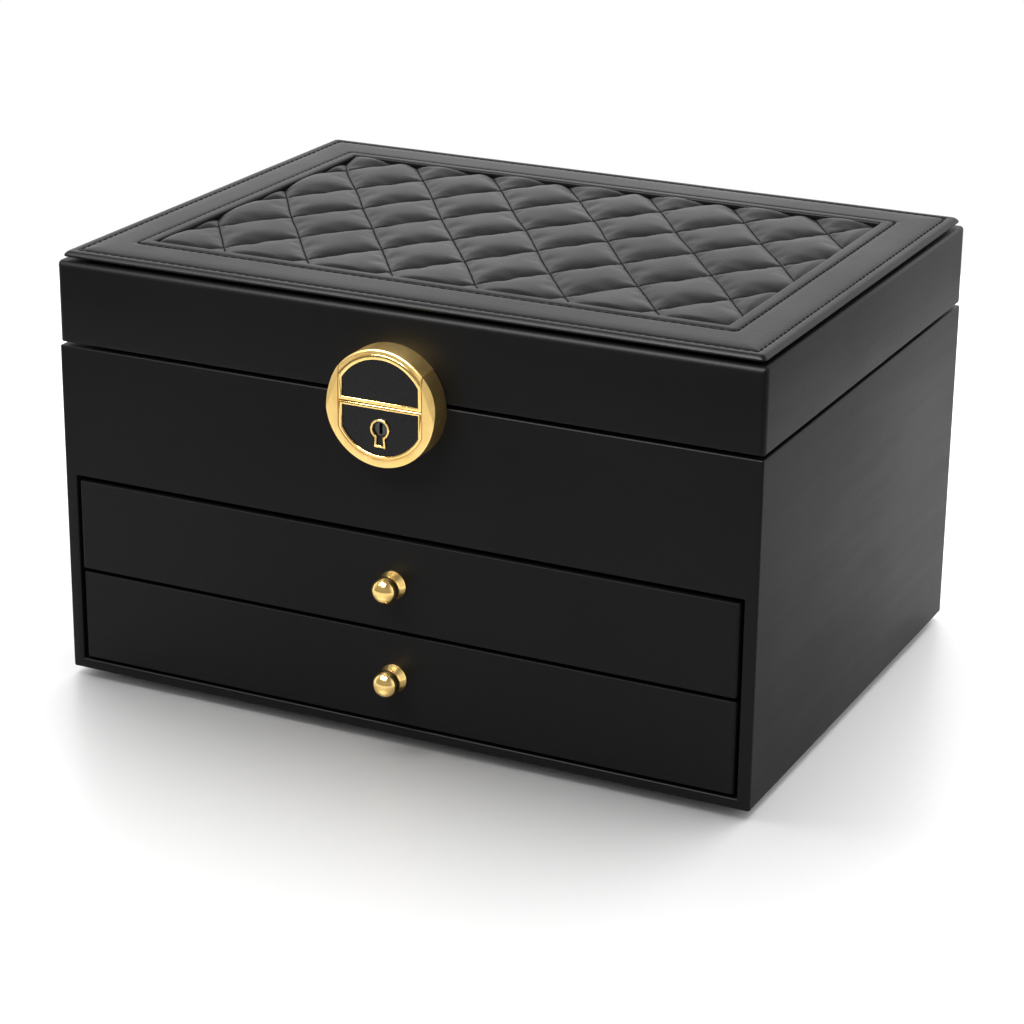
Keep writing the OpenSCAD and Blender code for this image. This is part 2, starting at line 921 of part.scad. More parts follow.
lower_drawer_knob();
lower_knob_screw();
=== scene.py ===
"""Looks of the leather jewellery case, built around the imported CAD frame.

Shapes are drawn in millimetres and scaled to metres; lamps and bump depths are in metres.
"""
import math
import random

import bmesh
import bpy
import numpy as np
from mathutils import Matrix, Vector, noise


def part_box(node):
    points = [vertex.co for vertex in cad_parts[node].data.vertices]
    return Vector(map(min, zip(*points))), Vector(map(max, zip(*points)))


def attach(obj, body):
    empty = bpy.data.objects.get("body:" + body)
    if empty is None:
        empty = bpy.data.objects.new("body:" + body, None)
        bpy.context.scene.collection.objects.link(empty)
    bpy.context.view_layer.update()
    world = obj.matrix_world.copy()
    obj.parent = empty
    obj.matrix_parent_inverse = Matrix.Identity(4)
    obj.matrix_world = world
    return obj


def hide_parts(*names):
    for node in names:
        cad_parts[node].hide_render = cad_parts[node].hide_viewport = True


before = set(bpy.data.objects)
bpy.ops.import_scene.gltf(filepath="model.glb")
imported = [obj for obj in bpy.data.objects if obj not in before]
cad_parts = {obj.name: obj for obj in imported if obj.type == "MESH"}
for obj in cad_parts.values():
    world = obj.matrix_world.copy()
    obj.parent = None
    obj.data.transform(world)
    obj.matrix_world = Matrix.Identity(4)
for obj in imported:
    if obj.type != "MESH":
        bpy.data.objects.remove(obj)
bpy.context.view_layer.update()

MM = 0.001
SEED = 7
RNG = random.Random(SEED)
# Blender's vector noise is seeded by the clock unless it is given a seed
noise.seed_set(SEED)


def span(node):
    """Lowest and highest corner of a CAD node in millimetres."""
    low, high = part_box(node)
    return np.array(low) / MM, np.array(high) / MM


# ---------- Sizes read from the frame, in millimetres ----------

BODY_LO, BODY_HI = span("body_cover")
LID_LO, LID_HI = span("lid_cover")
PANEL_LO, PANEL_HI = span("top_frame")
PAD_LO, PAD_HI = span("quilted_pad")
SHELF_LO = span("shelf_board")[0]
BASE_HI = span("base_board")[1]
INNER_X = BASE_HI[0]
WALL = BODY_HI[0] - INNER_X
BOARD_T = 3.5
SKIN = SHELF_LO[1] - BODY_LO[1] - BOARD_T
FRONT_Y = BODY_LO[1]
BACK_Y = BODY_HI[1]
TOUCH = 0.01


# ---------- Mesh helpers ----------

WELD = 1e-6
FLAT_ANGLE = 0.3
SMOOTH_ANGLE = 35


def new_object(name, mesh):
    piece = bpy.data.objects.new(name, mesh)
    bpy.context.scene.collection.objects.link(piece)
    return piece


def from_bmesh(name, bm):
    """Object from a bmesh drawn in millimetres."""
    bmesh.ops.recalc_face_normals(bm, faces=bm.faces)
    mesh = bpy.data.meshes.new(name)
    bm.to_mesh(mesh)
    bm.free()
    mesh.transform(Matrix.Scale(MM, 4))
    return new_object(name, mesh)


def add_block(bm, low, high):
    """Adds a closed box between two corners."""
    made = bmesh.ops.create_cube(bm, size=1)["verts"]
    low, high = Vector(low), Vector(high)
    for v in made:
        v.co = Vector([low[k] + (v.co[k] + 0.5) * (high[k] - low[k]) for k in range(3)])


def block_object(name, low, high):
    """Closed box between two corners as an object."""
    bm = bmesh.new()
    add_block(bm, low, high)
    return from_bmesh(name, bm)


def bake_modifiers(piece):
    """Applies every modifier on a piece to its mesh."""
    graph = bpy.context.evaluated_depsgraph_get()
    mesh = bpy.data.meshes.new_from_object(piece.evaluated_get(graph))
    piece.modifiers.clear()
    old = piece.data
    piece.data = mesh
    bpy.data.meshes.remove(old)


def combine(piece, others, operation):
    """Joins boxes to a piece, or cuts them from it, and removes them."""
    for other in others:
        step = piece.modifiers.new("cut", "BOOLEAN")
        step.object = other
        step.operation = operation
        step.solver = "EXACT"
        bake_modifiers(piece)
        bpy.data.objects.remove(other)


def dissolve_flat(piece):
    """Joins the flat faces that lie in one plane."""
    bm = bmesh.new()
    bm.from_mesh(piece.data)
    bmesh.ops.remove_doubles(bm, verts=bm.verts, dist=WELD)
    bmesh.ops.dissolve_limit(bm, angle_limit=math.radians(1), verts=bm.verts, edges=bm.edges)
    bm.to_mesh(piece.data)
    bm.free()


def round_edges(piece, widest, weight_of, segments=4):
    """Rounds edges; weight_of(middle, direction) in millimetres gives each edge's radius."""
    bm = bmesh.new()
    bm.from_mesh(piece.data)
    layer = bm.edges.layers.float.new("bevel_weight_edge")
    for e in bm.edges:
        if len(e.link_faces) == 2 and e.calc_face_angle(0) > FLAT_ANGLE:
            a, b = e.verts[0].co / MM, e.verts[1].co / MM
            e[layer] = weight_of((a + b) / 2, (b - a).normalized()) / widest
    bm.to_mesh(piece.data)
    bm.free()
    bevel = piece.modifiers.new("round", "BEVEL")
    bevel.width = widest * MM
    bevel.segments = segments
    bevel.limit_method = "WEIGHT"
    bevel.use_clamp_overlap = True
    bake_modifiers(piece)
    shade_smooth(piece)


def shade_smooth(piece, angle=SMOOTH_ANGLE):
    """Smooth shading that keeps edges sharper than the angle."""
    mesh = piece.data
    mesh.polygons.foreach_set("use_smooth", [True] * len(mesh.polygons))
    bm = bmesh.new()
    bm.from_mesh(mesh)
    limit = math.radians(angle)
    for e in bm.edges:
        e.smooth = len(e.link_faces) == 2 and e.calc_face_angle(0) < limit
    bm.to_mesh(mesh)
    bm.free()


def soften(piece, width, segments=3, angle=35):
    """Rounds every edge sharper than the angle by a width in millimetres."""
    bevel = piece.modifiers.new("soften", "BEVEL")
    bevel.width = width * MM
    bevel.segments = segments
    bevel.limit_method = "ANGLE"
    bevel.angle_limit = math.radians(angle)
    bake_modifiers(piece)
    shade_smooth(piece)


# ---------- Materials ----------

NOISE_LOW = 0.3
NOISE_HIGH = 0.7
LEATHER_IOR = 1.22


def material(name):
    """New node material and its node tools."""
    made = bpy.data.materials.new(name)
    made.use_nodes = True
    tree = made.node_tree
    shader = tree.nodes["Principled BSDF"]
    return made, tree, shader


def add_node(tree, kind, **settings):
    """New node with values on its sockets or properties."""
    node = tree.nodes.new(kind)
    for key, value in settings.items():
        if key in node.inputs:
            node.inputs[key].default_value = value
        else:
            setattr(node, key, value)
    return node


def texture(tree, kind, stretch=(1, 1, 1), **settings):
    """Texture node placed by the object's own coordinates."""
    place = add_node(tree, "ShaderNodeTexCoord")
    mapping = add_node(tree, "ShaderNodeMapping", Scale=stretch)
    node = add_node(tree, kind, **settings)
    tree.links.new(place.outputs["Object"], mapping.inputs["Vector"])
    tree.links.new(mapping.outputs["Vector"], node.inputs["Vector"])
    return node


def ramp(tree, source, stops):
    """Colour ramp over a texture's value; stops are places and colours."""
    node = add_node(tree, "ShaderNodeValToRGB")
    while len(node.color_ramp.elements) < len(stops):
        node.color_ramp.elements.new(0.5)
    for element, (place, colour) in zip(node.color_ramp.elements, stops):
        element.position = place
        element.color = (*colour, 1)
    tree.links.new(source, node.inputs["Fac"])
    return node.outputs["Color"]


def spread(tree, source, low, high):
    """Texture value brought to a range, from the span that noise mostly fills."""
    node = add_node(tree, "ShaderNodeMapRange")
    node.inputs["From Min"].default_value = NOISE_LOW
    node.inputs["From Max"].default_value = NOISE_HIGH
    node.inputs["To Min"].default_value = low
    node.inputs["To Max"].default_value = high
    tree.links.new(source, node.inputs["Value"])
    return node.outputs["Result"]


def bump(tree, shader, layers):
    """Bump from several heights: each gives its source, strength and depth in metres."""
    last = None
    for source, strength, depth in layers:
        node = add_node(tree, "ShaderNodeBump", Strength=strength, Distance=depth)
        tree.links.new(source, node.inputs["Height"])
        if last:
            tree.links.new(last.outputs["Normal"], node.inputs["Normal"])
        last = node
    tree.links.new(last.outputs["Normal"], shader.inputs["Normal"])


def tinted(colour, factor):
    """Colour made lighter or darker."""
    return tuple(c * factor for c in colour)


def paint(tree, shader, texture_node, stops):
    """Base colour from a texture through a ramp."""
    colour = ramp(tree, texture_node.outputs["Fac"], stops)
    tree.links.new(colour, shader.inputs["Base Color"])


def roughen(tree, shader, texture_node, low, high):
    """Roughness that varies with a texture."""
    value = spread(tree, texture_node.outputs["Fac"], low, high)
    tree.links.new(value, shader.inputs["Roughness"])


def leather_material(name, tint, rough, grain):
    """Smooth, fine-pored black leather with faint rubbed streaks."""
    made, tree, shader = material(name)
    link = tree.links.new
    broad = texture(tree, "ShaderNodeTexNoise", Scale=9.0, Detail=4.0, Roughness=0.55)
    rubbed = texture(tree, "ShaderNodeTexNoise", (14, 14, 160), Scale=1.0, Detail=5.0, Roughness=0.7)
    pores = texture(tree, "ShaderNodeTexVoronoi", Scale=1100.0)
    fine = texture(tree, "ShaderNodeTexNoise", Scale=700.0, Detail=3.0)
    paint(tree, shader, broad, [(0.3, tinted(tint, 0.7)), (0.75, tinted(tint, 1.35))])
    mixed = add_node(tree, "ShaderNodeMath", operation="ADD")
    link(spread(tree, broad.outputs["Fac"], rough - 0.035, rough + 0.035), mixed.inputs[0])
    link(spread(tree, rubbed.outputs["Fac"], -0.02, 0.02), mixed.inputs[1])
    link(mixed.outputs["Value"], shader.inputs["Roughness"])
    bump(tree, shader, [(broad.outputs["Fac"], 0.12, 0.0012),
                        (fine.outputs["Fac"], 0.35 * grain, 0.00012),
                        (pores.outputs["Distance"], 0.12 * grain, 0.0001)])
    shader.inputs["IOR"].default_value = LEATHER_IOR
    return made


def gold_material(name, rough):
    """Gold-coloured plate with faint buffing marks."""
    made, tree, shader = material(name)
    cloud = texture(tree, "ShaderNodeTexNoise", Scale=160.0, Detail=3.0)
    marks = texture(tree, "ShaderNodeTexNoise", (260, 90, 260), Scale=1.0, Detail=3.0)
    paint(tree, shader, cloud, [(0.3, (0.93, 0.63, 0.21)), (0.7, (1.0, 0.72, 0.28))])
    roughen(tree, shader, marks, rough - 0.03, rough + 0.04)
    bump(tree, shader, [(marks.outputs["Fac"], 0.03, 0.00002)])
    shader.inputs["Metallic"].default_value = 1.0
    return made


def enamel_material():
    """Glossy black enamel, a little uneven like poured lacquer."""
    made, tree, shader = material("black_enamel")
    cloud = texture(tree, "ShaderNodeTexNoise", Scale=120.0, Detail=2.0)
    specks = texture(tree, "ShaderNodeTexNoise", Scale=1800.0, Detail=2.0)
    paint(tree, shader, specks, [(0.3, (0.003, 0.003, 0.004)), (0.8, (0.008, 0.008, 0.010))])
    roughen(tree, shader, specks, 0.04, 0.09)
    bump(tree, shader, [(cloud.outputs["Fac"], 0.25, 0.00008)])
    shader.inputs["IOR"].default_value = 1.3
    return made


def velvet_material():
    """Short-pile charcoal velvet with brushed patches."""
    made, tree, shader = material("charcoal_velvet")
    brushed = texture(tree, "ShaderNodeTexNoise", (60, 60, 24), Scale=1.0, Detail=4.0, Roughness=0.6)
    pile = texture(tree, "ShaderNodeTexNoise", Scale=2600.0, Detail=2.0)
    paint(tree, shader, brushed, [(0.3, (0.011, 0.010, 0.011)), (0.7, (0.026, 0.024, 0.026))])
    roughen(tree, shader, pile, 0.82, 0.98)
    bump(tree, shader, [(brushed.outputs["Fac"], 0.3, 0.0008), (pile.outputs["Fac"], 0.6, 0.0002)])
    shader.inputs["Sheen Weight"].default_value = 0.6
    shader.inputs["Sheen Roughness"].default_value = 0.35
    shader.inputs["Sheen Tint"].default_value = (0.5, 0.48, 0.5, 1)
    shader.inputs["IOR"].default_value = 1.2
    return made


def board_material():
    """Fibreboard faced with textured black paper."""
    made, tree, shader = material("black_paper_board")
    fibre = texture(tree, "ShaderNodeTexNoise", (220, 60, 220), Scale=1.0, Detail=5.0, Roughness=0.65)
    tooth = texture(tree, "ShaderNodeTexNoise", Scale=1500.0, Detail=2.0)
    paint(tree, shader, fibre, [(0.3, (0.012, 0.011, 0.011)), (0.75, (0.028, 0.026, 0.025))])
    roughen(tree, shader, tooth, 0.62, 0.8)
    bump(tree, shader, [(fibre.outputs["Fac"], 0.25, 0.0002), (tooth.outputs["Fac"], 0.3, 0.00008)])
    return made


def steel_material(name, tone, rough):
    """Zinc-plated steel, or steel painted near black as the shade in a keyhole, with fine turning lines."""
    made, tree, shader = material(name)
    lines = texture(tree, "ShaderNodeTexNoise", (180, 2400, 180), Scale=1.0, Detail=3.0)
    cloud = texture(tree, "ShaderNodeTexNoise", Scale=300.0, Detail=2.0)
    paint(tree, shader, cloud, [(0.3, (tone * 0.85,) * 3), (0.7, (tone, tone, tone * 1.04))])
    roughen(tree, shader, lines, rough - 0.06, rough + 0.08)
    bump(tree, shader, [(lines.outputs["Fac"], 0.1, 0.00004)])
    shader.inputs["Metallic"].default_value = 1.0
    return made


def rubber_material():
    """Matt black rubber with a moulded tooth."""
    made, tree, shader = material("matt_rubber")
    tooth = texture(tree, "ShaderNodeTexVoronoi", Scale=900.0)
    cloud = texture(tree, "ShaderNodeTexNoise", Scale=70.0, Detail=3.0)
    paint(tree, shader, cloud, [(0.3, (0.010, 0.010, 0.010)), (0.7, (0.022, 0.022, 0.022))])
    roughen(tree, shader, cloud, 0.68, 0.82)
    bump(tree, shader, [(tooth.outputs["Distance"], 0.3, 0.0001)])
    return made


def mirror_material():
    """Silvered glass with the faintest haze."""
    made, tree, shader = material("silvered_glass")
    haze = texture(tree, "ShaderNodeTexNoise", Scale=14.0, Detail=4.0)
    paint(tree, shader, haze, [(0.3, (0.80, 0.83, 0.84)), (0.7, (0.86, 0.88, 0.89))])
    roughen(tree, shader, haze, 0.015, 0.03)
    shader.inputs["Metallic"].default_value = 1.0
    return made


def thread_material():
    """Black twisted sewing thread."""
    made, tree, shader = material("black_thread")
    twist = texture(tree, "ShaderNodeTexNoise", Scale=3200.0, Detail=2.0)
    paint(tree, shader, twist, [(0.3, (0.003, 0.003, 0.003)), (0.7, (0.010, 0.010, 0.011))])
    roughen(tree, shader, twist, 0.7, 0.9)
    bump(tree, shader, [(twist.outputs["Fac"], 0.5, 0.0001)])
    shader.inputs["IOR"].default_value = 1.2
    return made


LEATHER = leather_material("black_leather", (0.003, 0.003, 0.0037), 0.5, 1.0)
# The top panel and quilt use a lighter tint than the sides: painted light on the top. The finer grain and
# lower roughness are the leather's own.
LIT_TOP_LEATHER = leather_material("black_top_leather_painted_light", (0.0055, 0.0055, 0.006), 0.45, 1.3)
GOLD = gold_material("polished_gold", 0.13)
CASE_GOLD = gold_material("satin_gold", 0.34)
ENAMEL = enamel_material()
VELVET = velvet_material()
BOARD = board_material()
STEEL = steel_material("zinc_steel", 0.55, 0.3)
# Lock plug steel painted near black: painted shade seen down the keyhole
KEYHOLE_SHADE_STEEL = steel_material("plug_steel_painted_shade", 0.09, 0.35)
RUBBER = rubber_material()
MIRROR = mirror_material()
THREAD = thread_material()


def finish_piece(piece, body, slot, look, *nodes):
    """Gives a new piece its material and body, and hides the CAD nodes that it stands for; the slot is not
    used.
    """
    piece.data.materials.clear()
    piece.data.materials.append(look)
    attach(piece, body)
    if nodes:
        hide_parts(*nodes)


# ---------- Body and lid covers ----------

# Radii of the covers' edges
CORNER_R = 2.2
BODY_TOP_R = 1.4
BODY_FOOT_SIDE_R = 2.2
BODY_FOOT_FRONT_R = 1.5
OPENING_R = 1.2
BODY_INNER_RIM_R = 0.6
LID_TOP_SIDE_R = 1.2
LID_TOP_FRONT_R = 2.2
LID_RIM_R = 1.0
LID_INNER_RIM_R = 0.4
COVER_SEGMENTS = 5


def level(value, target):
    """Whether two lengths agree."""
    return abs(value - target) < TOUCH


def outside(mid):
    """Whether an edge's middle lies on an outer side, and whether on the front or back."""
    return level(abs(mid.x), BODY_HI[0]), level(mid.y, FRONT_Y) or level(mid.y, BACK_Y)


def body_leather():
    """The body's cover: wrapped outside, over the top edge, and into the drawer opening."""
    turn_in = 14
    lap = 0.3
    cover = block_object("body_leather", BODY_LO, BODY_HI)
    inside = block_object("cut_inside", BODY_LO + [SKIN, SKIN, -1], BODY_HI - [SKIN, SKIN, SKIN])
    mouth = block_object("cut_mouth", BODY_LO + [WALL, WALL, 0], BODY_HI - [WALL, WALL, -1])
    combine(cover, [inside, mouth], "DIFFERENCE")
    low = Vector((-INNER_X, FRONT_Y, BASE_HI[2]))
    high = Vector((INNER_X, FRONT_Y + turn_in, SHELF_LO[2]))
    lining = block_object("turn_in", low - Vector((SKIN, 0, SKIN)), high + Vector((SKIN, 0, SKIN)))
    combine(cover, [lining], "UNION")
    hole = block_object("cut_opening", low + Vector((lap, -1, lap)), high + Vector((-lap, 1, -lap)))
    combine(cover, [hole], "DIFFERENCE")
    dissolve_flat(cover)

    def radius(mid, way):
        outer_x, outer_y = outside(mid)
        upright = abs(way.z) > 0.9
        if upright and outer_x and outer_y:
            return CORNER_R
        if level(mid.z, BODY_HI[2]) and (outer_x or outer_y):
            return BODY_TOP_R
        if level(mid.z, BODY_LO[2]) and (outer_x or outer_y):
            return BODY_FOOT_SIDE_R if outer_x else BODY_FOOT_FRONT_R
        if level(mid.y, FRONT_Y):
            return OPENING_R
        if level(mid.z, BODY_HI[2]):
            return BODY_INNER_RIM_R
        return 0.0

    round_edges(cover, CORNER_R, radius, COVER_SEGMENTS)
    finish_piece(cover, "case", "leather", LEATHER, "body_cover")


def lid_leather():
    """The lid's cover: an open box with its rim turned over the boards."""
    cover = block_object("lid_leather", LID_LO, LID_HI)
    inside = block_object("cut_inside", LID_LO + SKIN, LID_HI - SKIN)
    mouth = block_object("cut_mouth", LID_LO + [WALL, WALL, -1], LID_HI - [WALL, WALL, SKIN + 1])
    combine(cover, [inside, mouth], "DIFFERENCE")
    dissolve_flat(cover)

    def radius(mid, way):
        outer_x, outer_y = outside(mid)
        upright = abs(way.z) > 0.9
        if upright and outer_x and outer_y:
            return CORNER_R
        if level(mid.z, LID_HI[2]) and (outer_x or outer_y):
            return LID_TOP_SIDE_R if outer_x else LID_TOP_FRONT_R
        if outer_x or outer_y:
            return LID_RIM_R
        return LID_INNER_RIM_R if level(mid.z, LID_LO[2]) else 0.0

    round_edges(cover, CORNER_R, radius, COVER_SEGMENTS)
    finish_piece(cover, "lid", "leather", LEATHER, "lid_cover")


# ---------- Stitches ----------

# Place along the stitch, share of its radius, and lift in millimetres
STITCH_PROFILE = [(-0.5, 0.25, -0.3), (-0.36, 0.85, 0.0), (0, 1, 0.12), (0.36, 0.85, 0.0), (0.5, 0.25, -0.3)]
STITCH_SIDES = 6
STITCH_FLATNESS = 0.8
STITCH_WOBBLE = 0.07


def add_stitch(bm, at, way, length=2.5, radius=0.32):
    """One thread stitch: a flat capsule whose ends dip into the leather."""
    side = Vector((-way.y, way.x, 0))
    rings = []
    for along, size, lift in STITCH_PROFILE:
        hub = at + way * (along * length) + Vector((0, 0, lift))
        ring = []
        for k in range(STITCH_SIDES):
            turn = 2 * math.pi / STITCH_SIDES * k
            across = side * (radius * size * math.cos(turn))
            rise = Vector((0, 0, STITCH_FLATNESS * radius * size * math.sin(turn)))
            ring.append(bm.verts.new(hub + across + rise))
        rings.append(ring)
    for near, far in zip(rings, rings[1:]):
        for k in range(STITCH_SIDES):
            bm.faces.new((near[k], near[k - 1], far[k - 1], far[k]))
    bm.faces.new(rings[0])
    bm.faces.new(rings[-1][::-1])


def stitch_line(bm, points, pitch, **shape):
    """Stitches at an even pitch along a line of points."""
    points = [Vector(p) for p in points]
    left = pitch / 2
    for a, b in zip(points, points[1:]):
        way = b - a
        length = way.length
        if length < WELD:
            continue
        way.normalize()
        while left <= length:
            wobble_x = RNG.uniform(-STITCH_WOBBLE, STITCH_WOBBLE)
            wobble_y = RNG.uniform(-STITCH_WOBBLE, STITCH_WOBBLE)
            wobble = Vector((wobble_x, wobble_y, 0))
            add_stitch(bm, a + way * left + wobble, way, **shape)
            left += pitch
        left -= length


# ---------- Top panel ----------

PANEL_MID = ((PANEL_LO + PANEL_HI) / 2)[:2]
PANEL_HALF = ((PANEL_HI - PANEL_LO) / 2)[:2]
PANEL_Z = LID_HI[2]
PAD_GAP = 0.4
WINDOW_HALF = ((PAD_HI - PAD_LO) / 2)[:2] + PAD_GAP
NECK_IN = 2.5
GROOVE_H = 1.2
ROW_PITCH = 3.3
OUTER_ROW_IN = 4.2
OUTER_ROW_UP = 2.92
INNER_ROW_OUT = 4.4
INNER_ROW_UP = 3.4
WAVY_ABOVE = 2.2


def round_rectangle(half, radius, corner_steps=5, side_steps=(60, 42)):
    """Corner points of a rounded rectangle, always the same number of them."""
    points = []
    for k, (sx, sy) in enumerate(((1, 1), (-1, 1), (-1, -1), (1, -1))):
        hub = (PANEL_MID[0] + sx * (half[0] - radius), PANEL_MID[1] + sy * (half[1] - radius))
        for step in range(corner_steps + 1):
            turn = math.pi / 2 * (k + step / corner_steps)
            points.append(Vector((hub[0] + radius * math.cos(turn), hub[1] + radius * math.sin(turn))))
        steps = side_steps[k % 2]
        way = Vector(((-1, 0), (0, -1), (1, 0), (0, 1))[k])
        length = 2 * (half[k % 2] - radius)
        start = points[-1]
        points += [start + way * (length * n / steps) for n in range(1, steps)]
    return points


def from_edge(inset):
    """Loop at a distance in from the panel's outer edge."""
    return round_rectangle(PANEL_HALF - inset, max(1.7 - 0.2 * inset, 1.0))


def from_window(outset):
    """Loop at a distance out from the window."""
    return round_rectangle(WINDOW_HALF + outset, 0.7 + 0.2 * outset)


def leather_wave(x, y, depth=0.07):
    """Slight unevenness of hand-laid leather: long waves with short ones on them."""
    long_wave = noise.noise(Vector((x / 26, y / 26, 0)))
    short_wave = noise.noise(Vector((x / 8, y / 8, 5)))
    return depth * long_wave + depth / 2 * short_wave


def panel_section():
    """Loops and heights of the top panel, from its neck over the edge, rows and lip to the window."""
    edge = [(NECK_IN, 0), (NECK_IN, GROOVE_H - 0.1), (NECK_IN - 0.4, GROOVE_H), (0.7, GROOVE_H),
            (0.2, 1.28), (0.02, 1.5), (0.03, 1.8), (0.2, 2.15), (0.62, 2.6), (1.05, 2.98), (1.6, 3.14),
            (2.4, 3.18), (3.3, 3.18), (OUTER_ROW_IN - 0.35, 2.82), (OUTER_ROW_IN + 0.35, 2.82),
            (4.9, 3.1), (5.5, 3.26), (6.3, 3.38), (7.2, 3.47), (8.4, 3.56), (10, 3.63)]
    window = [(10, 3.67), (7.5, 3.7), (6, 3.68), (5.2, 3.55), (INNER_ROW_OUT + 0.3, 3.26),
              (INNER_ROW_OUT - 0.3, 3.26), (3.9, 3.62), (3.55, 3.8), (3.0, 3.88), (2.2, 3.92), (1.2, 3.92),
              (0.5, 3.85), (0.12, 3.6), (0, 3.2), (0, 1.8), (0, 0)]
    loops = [(from_edge(inset), height) for inset, height in edge]
    loops += [(from_window(outset), height) for outset, height in window]
    return loops


def top_panel():
    """Padded leather frame on its narrow neck, with a sunk line for each row of thread."""
    bm = bmesh.new()
    rings = []
    for loop, height in panel_section():
        soft = min(max(height - WAVY_ABOVE, 0), 1)
        ring = [(p.x, p.y, PANEL_Z + height + soft * leather_wave(p.x, p.y)) for p in loop]
        rings.append([bm.verts.new(point) for point in ring])
    for near, far in zip(rings, rings[1:] + rings[:1]):
        for k in range(len(near)):
            bm.faces.new((near[k - 1], near[k], far[k], far[k - 1]))
    panel = from_bmesh("top_panel", bm)
    refine = panel.modifiers.new("refine", "SUBSURF")
    refine.levels = 1
    bake_modifiers(panel)
    shade_smooth(panel, 50)
    finish_piece(panel, "lid", "leather", LIT_TOP_LEATHER, "top_frame")


def panel_stitches():
    """Both rows of thread around the top panel."""
    bm = bmesh.new()
    rows = [(from_edge(OUTER_ROW_IN), OUTER_ROW_UP), (from_window(INNER_ROW_OUT), INNER_ROW_UP)]
    for loop, height in rows:
        row = [(p.x, p.y, PANEL_Z + height + leather_wave(p.x, p.y)) for p in loop]
        stitch_line(bm, row + row[:1], ROW_PITCH)
    threads = from_bmesh("panel_stitches", bm)
    shade_smooth(threads, 60)
    finish_piece(threads, "lid", "leather", THREAD)


# ---------- Quilted pad ----------

QUILT_STEP = (16.15, 23.1)
QUILT_HUB = (13.3, -13.8)
QUILT_REACH = 7
QUILT_CELLS = 12
QUILT_DRIFT = 0.9
DRIFT_SPAN = 34
SEAM_Z = PANEL_Z + 2.0
PUFF = 2.3
PLUMPNESS = 0.8
PAD_OVER = 6.0
PAD_BOTTOM = PANEL_Z + 0.1
SIM_SCALE = 10.0
SIM_FRAMES = 25
TALL_SHARE = 0.97
EDGE_FALL_W = 2.5
EDGE_FALL = 0.4
EDGE_FOOT = 0.6
THREAD_UP = 0.3
THREAD_IN = 1.2
THREAD_PITCH = 2.7
THREAD_LENGTH = 1.8
THREAD_R = 0.2


def quilt_point(u, v):
    """Place of a point counted in diamonds along the two directions of the seams."""
    x = QUILT_HUB[0] + QUILT_STEP[0] * (u + v)
    y = QUILT_HUB[1] + QUILT_STEP[1] * (u - v)
    drift = noise.noise_vector(Vector((x / DRIFT_SPAN, y / DRIFT_SPAN, 2)))
    return Vector((x + QUILT_DRIFT * drift.x, y + QUILT_DRIFT * drift.y, 0))


def seam_spacing(step):
    """Place of a grid line inside its diamond, closer together near the seams."""
    even = step / QUILT_CELLS
    return 0.45 * even + 0.55 * (0.5 - 0.5 * math.cos(math.pi * even))


def trim_to(bm, half):
    """Cuts a sheet to a rectangle around the panel's middle."""
    for axis in (0, 1):
        for sign in (-1, 1):
            place = [PANEL_MID[0], PANEL_MID[1], 0]
            place[axis] += sign * half[axis]
            outward = [0, 0, 0]
            outward[axis] = sign
            bmesh.ops.bisect_plane(bm, geom=bm.verts[:] + bm.edges[:] + bm.faces[:], dist=1e-4,
                                   plane_co=place, plane_no=outward, clear_outer=True)


def quilt_sheet():
    """Sheet of diamonds with a slight first swelling; returns it with its seam vertices marked."""
    bm = bmesh.new()
    seam = bm.verts.layers.float.new("seam")
    cells = range(-QUILT_REACH, QUILT_REACH)
    lines = [cell + seam_spacing(step) for cell in cells for step in range(QUILT_CELLS)]
    grid = []
    for u in lines:
        row = []
        for v in lines:
            swell = abs(math.sin(math.pi * u) * math.sin(math.pi * v)) ** 0.45
            vert = bm.verts.new(quilt_point(u, v) + Vector((0, 0, SEAM_Z + 0.8 * PUFF * swell)))
            vert[seam] = 1.0 if swell < 1e-6 else 0.0
            row.append(vert)
        grid.append(row)
    for near, far in zip(grid, grid[1:]):
        for k in range(1, len(near)):
            bm.faces.new((near[k - 1], near[k], far[k], far[k - 1]))
    trim_to(bm, WINDOW_HALF + PAD_OVER)
    for face in bm.faces:
        face.normal_update()
        if face.normal.z < 0:
            face.normal_flip()
    for vert in bm.verts:
        if vert.is_boundary:
            vert[seam] = 1.0
    return bm


def inflate(sheet, pinned):
    """Blows the stitched sheet up as cloth under pressure and keeps the result."""
    sheet.data.transform(Matrix.Scale(SIM_SCALE, 4))
    held = sheet.vertex_groups.new(name="held")
    held.add(pinned, 1.0, "REPLACE")
    cloth = sheet.modifiers.new("cloth", "CLOTH")
    setting = cloth.settings
    setting.vertex_group_mass = "held"
    setting.quality = 6
    setting.mass = 0.3
    setting.tension_stiffness = 30
    setting.compression_stiffness = 30
    setting.shear_stiffness = 12
    setting.bending_stiffness = 4
    setting.shrink_min = -0.02
    setting.use_pressure = True
    setting.uniform_pressure_force = 6
    setting.effector_weights.gravity = 0
    cloth.collision_settings.use_collision = False
    scene = bpy.context.scene
    for step in range(1, SIM_FRAMES + 1):
        scene.frame_set(step)
    bake_modifiers(sheet)
    scene.frame_set(1)
    sheet.vertex_groups.clear()
    sheet.data.transform(Matrix.Scale(1 / SIM_SCALE, 4))


